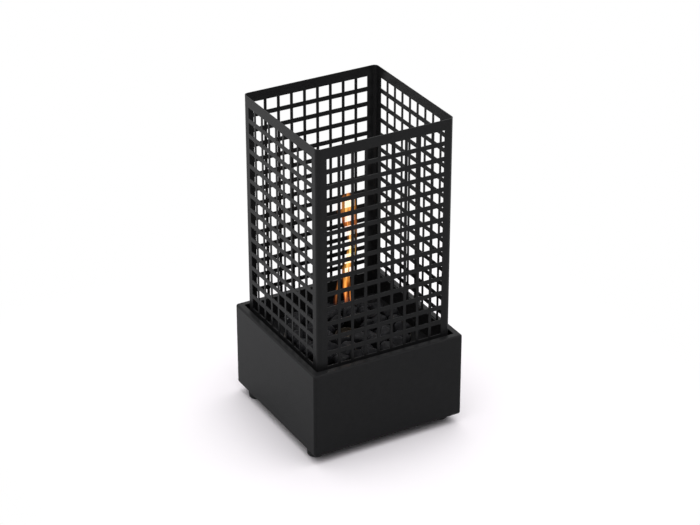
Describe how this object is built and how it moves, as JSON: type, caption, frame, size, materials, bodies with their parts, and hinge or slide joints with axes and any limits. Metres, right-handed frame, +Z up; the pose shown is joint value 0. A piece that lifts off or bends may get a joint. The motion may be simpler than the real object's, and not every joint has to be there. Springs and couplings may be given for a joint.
{
  "type": "bioethanol fireplace",
  "caption": "Table-top bioethanol fireplace: a square folded steel base on rubber feet, an open-topped perforated cage that lifts off, and a lift-out burner in a dish of black stones.",
  "frame": {"origin": "on the table, under the middle of the base", "axes": "+Z up along the cage, +X to the right and -Y to the front of a square plan"},
  "size_m": [0.2, 0.2, 0.4],
  "materials": {
    "powder_coat": "matte black powder coat",
    "cage_coat": "matte black powder coat",
    "foot_rubber": "moulded matte",
    "zinc_steel": "zinc plated",
    "stainless_steel": "brushed, heat tinted",
    "ceramic_wool": "loose fibre",
    "black_stone": "broken faces, half gloss"
  },
  "bodies": {
    "base": {"base_shell": "powder_coat", "base_plate": "powder_coat", "burner_plate": "powder_coat", "ledge_bracket_front": "powder_coat", "ledge_bracket_right": "powder_coat", "ledge_bracket_rear": "powder_coat", "ledge_bracket_left": "powder_coat", "foot_front_left": "foot_rubber", "foot_front_right": "foot_rubber", "foot_rear_right": "foot_rubber", "foot_rear_left": "foot_rubber", "foot_washers": "zinc_steel", "foot_screws": "zinc_steel", "foot_nuts": "zinc_steel", "plate_screws": "zinc_steel"},
    "cage": {"cage_front": "cage_coat", "cage_right": "cage_coat", "cage_rear": "cage_coat", "cage_left": "cage_coat"},
    "burner": {"burner_cup": "stainless_steel", "burner_dish": "stainless_steel", "burner_mouth": "stainless_steel", "burner_gauze": "stainless_steel", "gauze_ring": "stainless_steel", "burner_wool": "ceramic_wool", "stones_front": "black_stone", "stones_right": "black_stone", "stones_rear": "black_stone", "stones_left": "black_stone"}
  },
  "joints": [
    {"name": "cage_lift", "type": "slide", "parent": "base", "child": "cage", "axis": [0, 0, 1], "range_m": [0, 0.12]},
    {"name": "burner_lift", "type": "slide", "parent": "base", "child": "burner", "axis": [0, 0, 1], "range_m": [0, 0.12]}
  ]
}
